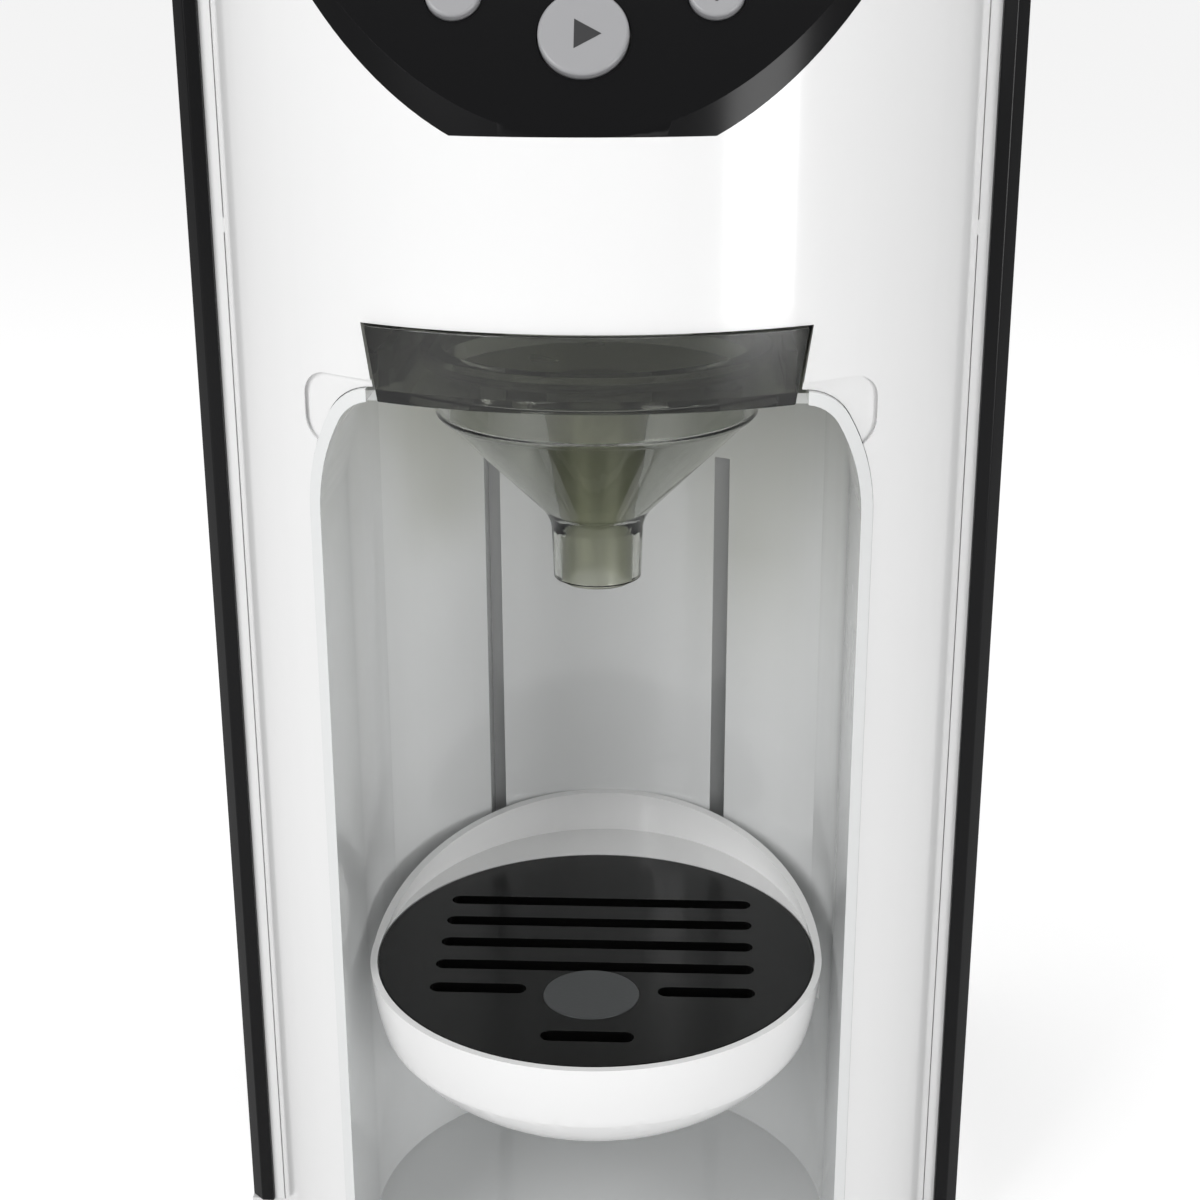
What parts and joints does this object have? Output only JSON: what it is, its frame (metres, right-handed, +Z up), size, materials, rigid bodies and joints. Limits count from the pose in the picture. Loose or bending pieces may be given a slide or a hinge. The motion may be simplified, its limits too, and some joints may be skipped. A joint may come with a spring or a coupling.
{
  "type": "baby formula maker",
  "caption": "Tower machine that doses milk powder and warm water through a slide-out funnel into a bottle on a height-adjustable stand, with a lift-off tank behind.",
  "frame": {"origin": "on the table under the middle of the bounding box", "axes": "+Z up, the front with the bottle bay faces -Y, +X to the right seen from the front"},
  "size_m": [0.1684, 0.2736, 0.335],
  "materials": {
    "white_gloss": "gloss",
    "white_matte": "satin",
    "black_gloss": "gloss",
    "black_matte": "satin",
    "smoke": "polished smoke-grey plastic",
    "window": "polished",
    "pad_grey": "satin",
    "button_grey": "satin",
    "rubber": "matt",
    "rubber_light": "matt silicone",
    "steel": "satin",
    "brass": "machined",
    "aluminium": "cast",
    "gear_plastic": "moulded",
    "board": "lacquered"
  },
  "bodies": {
    "machine": {"base_plate": "white_matte", "rubber_feet": "rubber", "front_fascia": "white_gloss", "bay_liner": "white_gloss", "inner_frame": "white_matte", "left_side_panel": "black_gloss", "right_side_panel": "black_gloss", "top_deck": "white_gloss", "control_plate": "black_gloss", "display_window": "window", "display_module": "board", "console_board": "board", "powder_chute": "white_matte", "drive_motor": "steel", "gearbox_tray": "black_matte", "rear_housing": "white_gloss", "power_inlet": "black_matte", "tank_socket": "black_matte", "water_pump": "black_matte", "water_heater": "aluminium", "main_board": "board", "inlet_hose": "rubber_light", "supply_hose": "rubber_light", "delivery_hose": "rubber_light", "water_nozzle": "white_matte", "base_screws": "steel", "gearbox_screws": "steel"},
    "drawer": {"funnel_drawer": "smoke", "funnel": "smoke", "funnel_nozzle": "smoke"},
    "stand": {"bottle_stand": "white_gloss"},
    "grille": {"drip_grille": "black_gloss", "grille_pad": "pad_grey"},
    "hopper": {"powder_container": "smoke"},
    "rotor": {"dosing_wheel": "white_matte", "stirring_paddle": "white_matte", "rotor_shaft": "steel"},
    "hopper_lid": {"powder_lid": "smoke", "lid_seal": "rubber_light"},
    "drive_gear": {"drive_gear": "gear_plastic"},
    "pinion": {"motor_pinion": "brass", "motor_shaft": "steel"},
    "tank": {"water_tank": "smoke", "valve_seal": "rubber_light", "lid_hinge_pins": "steel"},
    "tank_lid": {"tank_lid": "black_gloss"},
    "valve": {"valve_plunger": "white_matte"},
    "start_button": {"start_button": "button_grey"},
    "size_down_button": {"size_down_button": "button_grey"},
    "size_up_button": {"size_up_button": "button_grey"},
    "temperature_button": {"temperature_button": "button_grey"},
    "water_only_button": {"water_only_button": "button_grey"},
    "power_button": {"power_button": "button_grey"}
  },
  "joints": [
    {"name": "drawer_slide", "type": "slide", "parent": "machine", "child": "drawer", "axis": [0, -1, 0], "range_m": [0, 0.095]},
    {"name": "stand_height", "type": "slide", "parent": "machine", "child": "stand", "axis": [0, 0, 1], "range_m": [-0.042, 0]},
    {"name": "grille_lift", "type": "slide", "parent": "stand", "child": "grille", "axis": [0, 0, 1], "range_m": [0, 0.04]},
    {"name": "container_lift", "type": "slide", "parent": "machine", "child": "hopper", "axis": [0, 0, 1], "range_m": [0, 0.09]},
    {"name": "container_lid_lift", "type": "slide", "parent": "hopper", "child": "hopper_lid", "axis": [0, 0, 1], "range_m": [0, 0.06]},
    {"name": "rotor_spin", "type": "hinge", "parent": "hopper", "child": "rotor", "pos_m": [0, -0.026, 0.25], "axis": [0, 0, 1], "continuous": true},
    {"name": "gear_spin", "type": "hinge", "parent": "machine", "child": "drive_gear", "pos_m": [0, -0.026, 0.233], "axis": [0, 0, 1], "continuous": true},
    {"name": "pinion_spin", "type": "hinge", "parent": "machine", "child": "pinion", "pos_m": [0, 0, 0.233], "axis": [0, 0, 1], "continuous": true},
    {"name": "tank_lift", "type": "slide", "parent": "machine", "child": "tank", "axis": [0, 0, 1], "range_m": [0, 0.2]},
    {"name": "tank_lid_hinge", "type": "hinge", "parent": "tank", "child": "tank_lid", "pos_m": [0, 0.1327, 0.3178], "axis": [-1, 0, 0], "range_deg": [0, 100]},
    {"name": "valve_travel", "type": "slide", "parent": "tank", "child": "valve", "axis": [0, 0, 1], "range_m": [0, 0.002], "stiffness_N_per_m": 200, "springref_m": -0.0005},
    {"name": "start_button_press", "type": "slide", "parent": "machine", "child": "start_button", "axis": [0, 0.866, -0.5], "range_m": [0, 0.0009], "stiffness_N_per_m": 600, "springref_m": -0.0003},
    {"name": "size_down_button_press", "type": "slide", "parent": "machine", "child": "size_down_button", "axis": [0, 0.866, -0.5], "range_m": [0, 0.0009], "stiffness_N_per_m": 600, "springref_m": -0.0003},
    {"name": "size_up_button_press", "type": "slide", "parent": "machine", "child": "size_up_button", "axis": [0, 0.866, -0.5], "range_m": [0, 0.0009], "stiffness_N_per_m": 600, "springref_m": -0.0003},
    {"name": "temperature_button_press", "type": "slide", "parent": "machine", "child": "temperature_button", "axis": [0, 0.866, -0.5], "range_m": [0, 0.0009], "stiffness_N_per_m": 600, "springref_m": -0.0003},
    {"name": "water_only_button_press", "type": "slide", "parent": "machine", "child": "water_only_button", "axis": [0, 0.866, -0.5], "range_m": [0, 0.0009], "stiffness_N_per_m": 600, "springref_m": -0.0003},
    {"name": "power_button_press", "type": "slide", "parent": "machine", "child": "power_button", "axis": [0, 0.866, -0.5], "range_m": [0, 0.0009], "stiffness_N_per_m": 600, "springref_m": -0.0003}
  ],
  "couplings": [
    {"joint": "pinion_spin", "follows": "gear_spin", "ratio": -3.3333},
    {"joint": "rotor_spin", "follows": "gear_spin", "ratio": 1}
  ]
}
